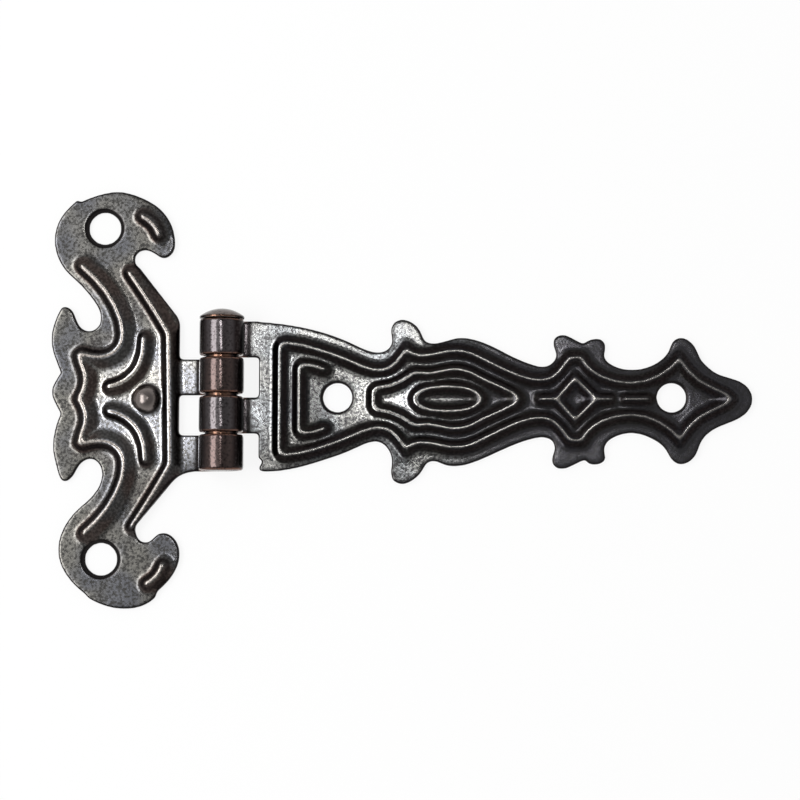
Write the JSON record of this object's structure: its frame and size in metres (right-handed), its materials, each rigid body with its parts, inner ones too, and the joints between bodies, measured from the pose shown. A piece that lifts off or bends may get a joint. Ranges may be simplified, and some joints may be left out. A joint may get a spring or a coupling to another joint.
{
  "type": "decorative strap hinge",
  "caption": "Small antiqued pressed-steel strap hinge with a scrolled plate leaf, a long scalloped strap leaf, embossed contour ribs, rolled knuckles and a headed pin.",
  "frame": {"origin": "midway between the scrolled plate's two screw holes, on the flat back face", "axes": "+X along the strap away from the plate, +Y across it along the hinge pin towards the pin's head, +Z out of the decorated front"},
  "size_m": [0.1048, 0.0626, 0.0067],
  "materials": {
    "leaf": "antiqued gunmetal, rubbed bright on the ribs",
    "pin": "antiqued gunmetal with a copper tint"
  },
  "bodies": {
    "plate": {"plate_leaf": "leaf", "hinge_pin": "pin"},
    "strap": {"strap_leaf": "leaf"}
  },
  "joints": [
    {"name": "strap_fold", "type": "hinge", "parent": "plate", "child": "strap", "pos_m": [0.0181, -0.0007, 0.00335], "axis": [0, -1, 0], "range_deg": [-105, 180]}
  ]
}
